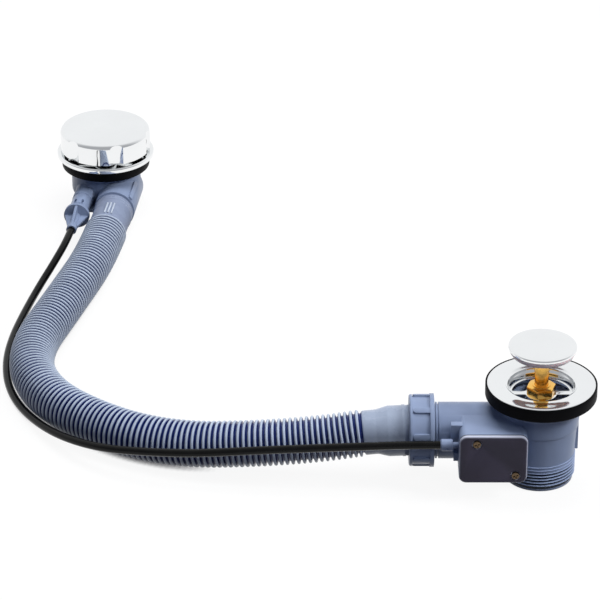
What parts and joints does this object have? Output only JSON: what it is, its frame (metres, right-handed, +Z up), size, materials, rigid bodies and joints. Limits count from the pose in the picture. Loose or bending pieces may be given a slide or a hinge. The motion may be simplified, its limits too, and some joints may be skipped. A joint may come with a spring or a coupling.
{
  "type": "bath waste and overflow",
  "caption": "Cable-operated pop-up bath waste with side lever box, corrugated overflow hose and turn-knob overflow, laid out with the plug raised.",
  "frame": {"origin": "centre of the waste outlet's bottom end, on the waste axis", "axes": "+Z up the waste axis out of the bath, -X along the overflow branch, -Y towards the lever box"},
  "size_m": [0.4044, 0.4663, 0.0991],
  "materials": {
    "body_plastic": "smooth blue-grey moulding",
    "hose_plastic": "blue-grey blow-moulded corrugation",
    "cover_plastic": "dark grey moulding",
    "chrome": "mirror chrome",
    "brass": "polished brass",
    "rubber": "black rubber",
    "seal_silicone": "pale translucent seal",
    "steel": "plain steel",
    "acetal": "white acetal",
    "cable_black": "black cable sheath"
  },
  "bodies": {
    "fixed": {"waste_body": "body_plastic", "union_nut": "body_plastic", "overflow_body": "body_plastic", "cable_gland": "body_plastic", "cable_end_sleeve": "body_plastic", "overflow_hose": "hose_plastic", "box_cover": "cover_plastic", "box_cover_seal": "rubber", "waste_gasket": "rubber", "overflow_gasket": "rubber", "shaft_o_ring": "rubber", "union_washer": "rubber", "cover_screws": "brass", "clamp_bolt": "brass", "waste_flange": "chrome", "overflow_faceplate": "chrome", "faceplate_screws": "steel", "bowden_cable": "cable_black"},
    "knob": {"overflow_knob": "chrome", "knob_grub_screw": "steel", "knob_spindle": "brass", "spindle_clip": "steel"},
    "rack": {"cable_rack": "acetal", "inner_wire_overflow": "steel"},
    "slider": {"cable_slider": "acetal", "wire_clamp_screw": "brass", "inner_wire_waste": "steel"},
    "lever": {"lever_shaft": "steel", "drive_fork": "acetal", "shaft_clip": "steel", "lift_finger": "acetal"},
    "plug": {"plug_cap": "chrome", "plug_seal": "seal_silicone", "plug_stem": "brass"}
  },
  "joints": [
    {"name": "knob_turn", "type": "hinge", "parent": "fixed", "child": "knob", "pos_m": [-0.305, 0.3925, 0.05], "axis": [0, 0, 1], "range_deg": [0, 90]},
    {"name": "rack_slide", "type": "slide", "parent": "fixed", "child": "rack", "axis": [-0.1167, -0.9932, 0], "range_m": [0, 0.00944]},
    {"name": "slider_slide", "type": "slide", "parent": "fixed", "child": "slider", "axis": [1, 0, 0], "range_m": [0, 0.00944]},
    {"name": "lever_rock", "type": "hinge", "parent": "fixed", "child": "lever", "pos_m": [-0.032, 0, 0.02849], "axis": [0, 1, 0], "range_deg": [0, 50.01]},
    {"name": "plug_lift", "type": "slide", "parent": "fixed", "child": "plug", "axis": [0, 0, -1], "range_m": [0, 0.02706]}
  ],
  "couplings": [
    {"joint": "rack_slide", "follows": "knob_turn", "m_per_rad": 0.006},
    {"joint": "slider_slide", "follows": "knob_turn", "m_per_rad": 0.006},
    {"joint": "lever_rock", "follows": "knob_turn", "ratio": 0.55556},
    {"joint": "plug_lift", "follows": "knob_turn", "m_per_rad": 0.017219}
  ]
}
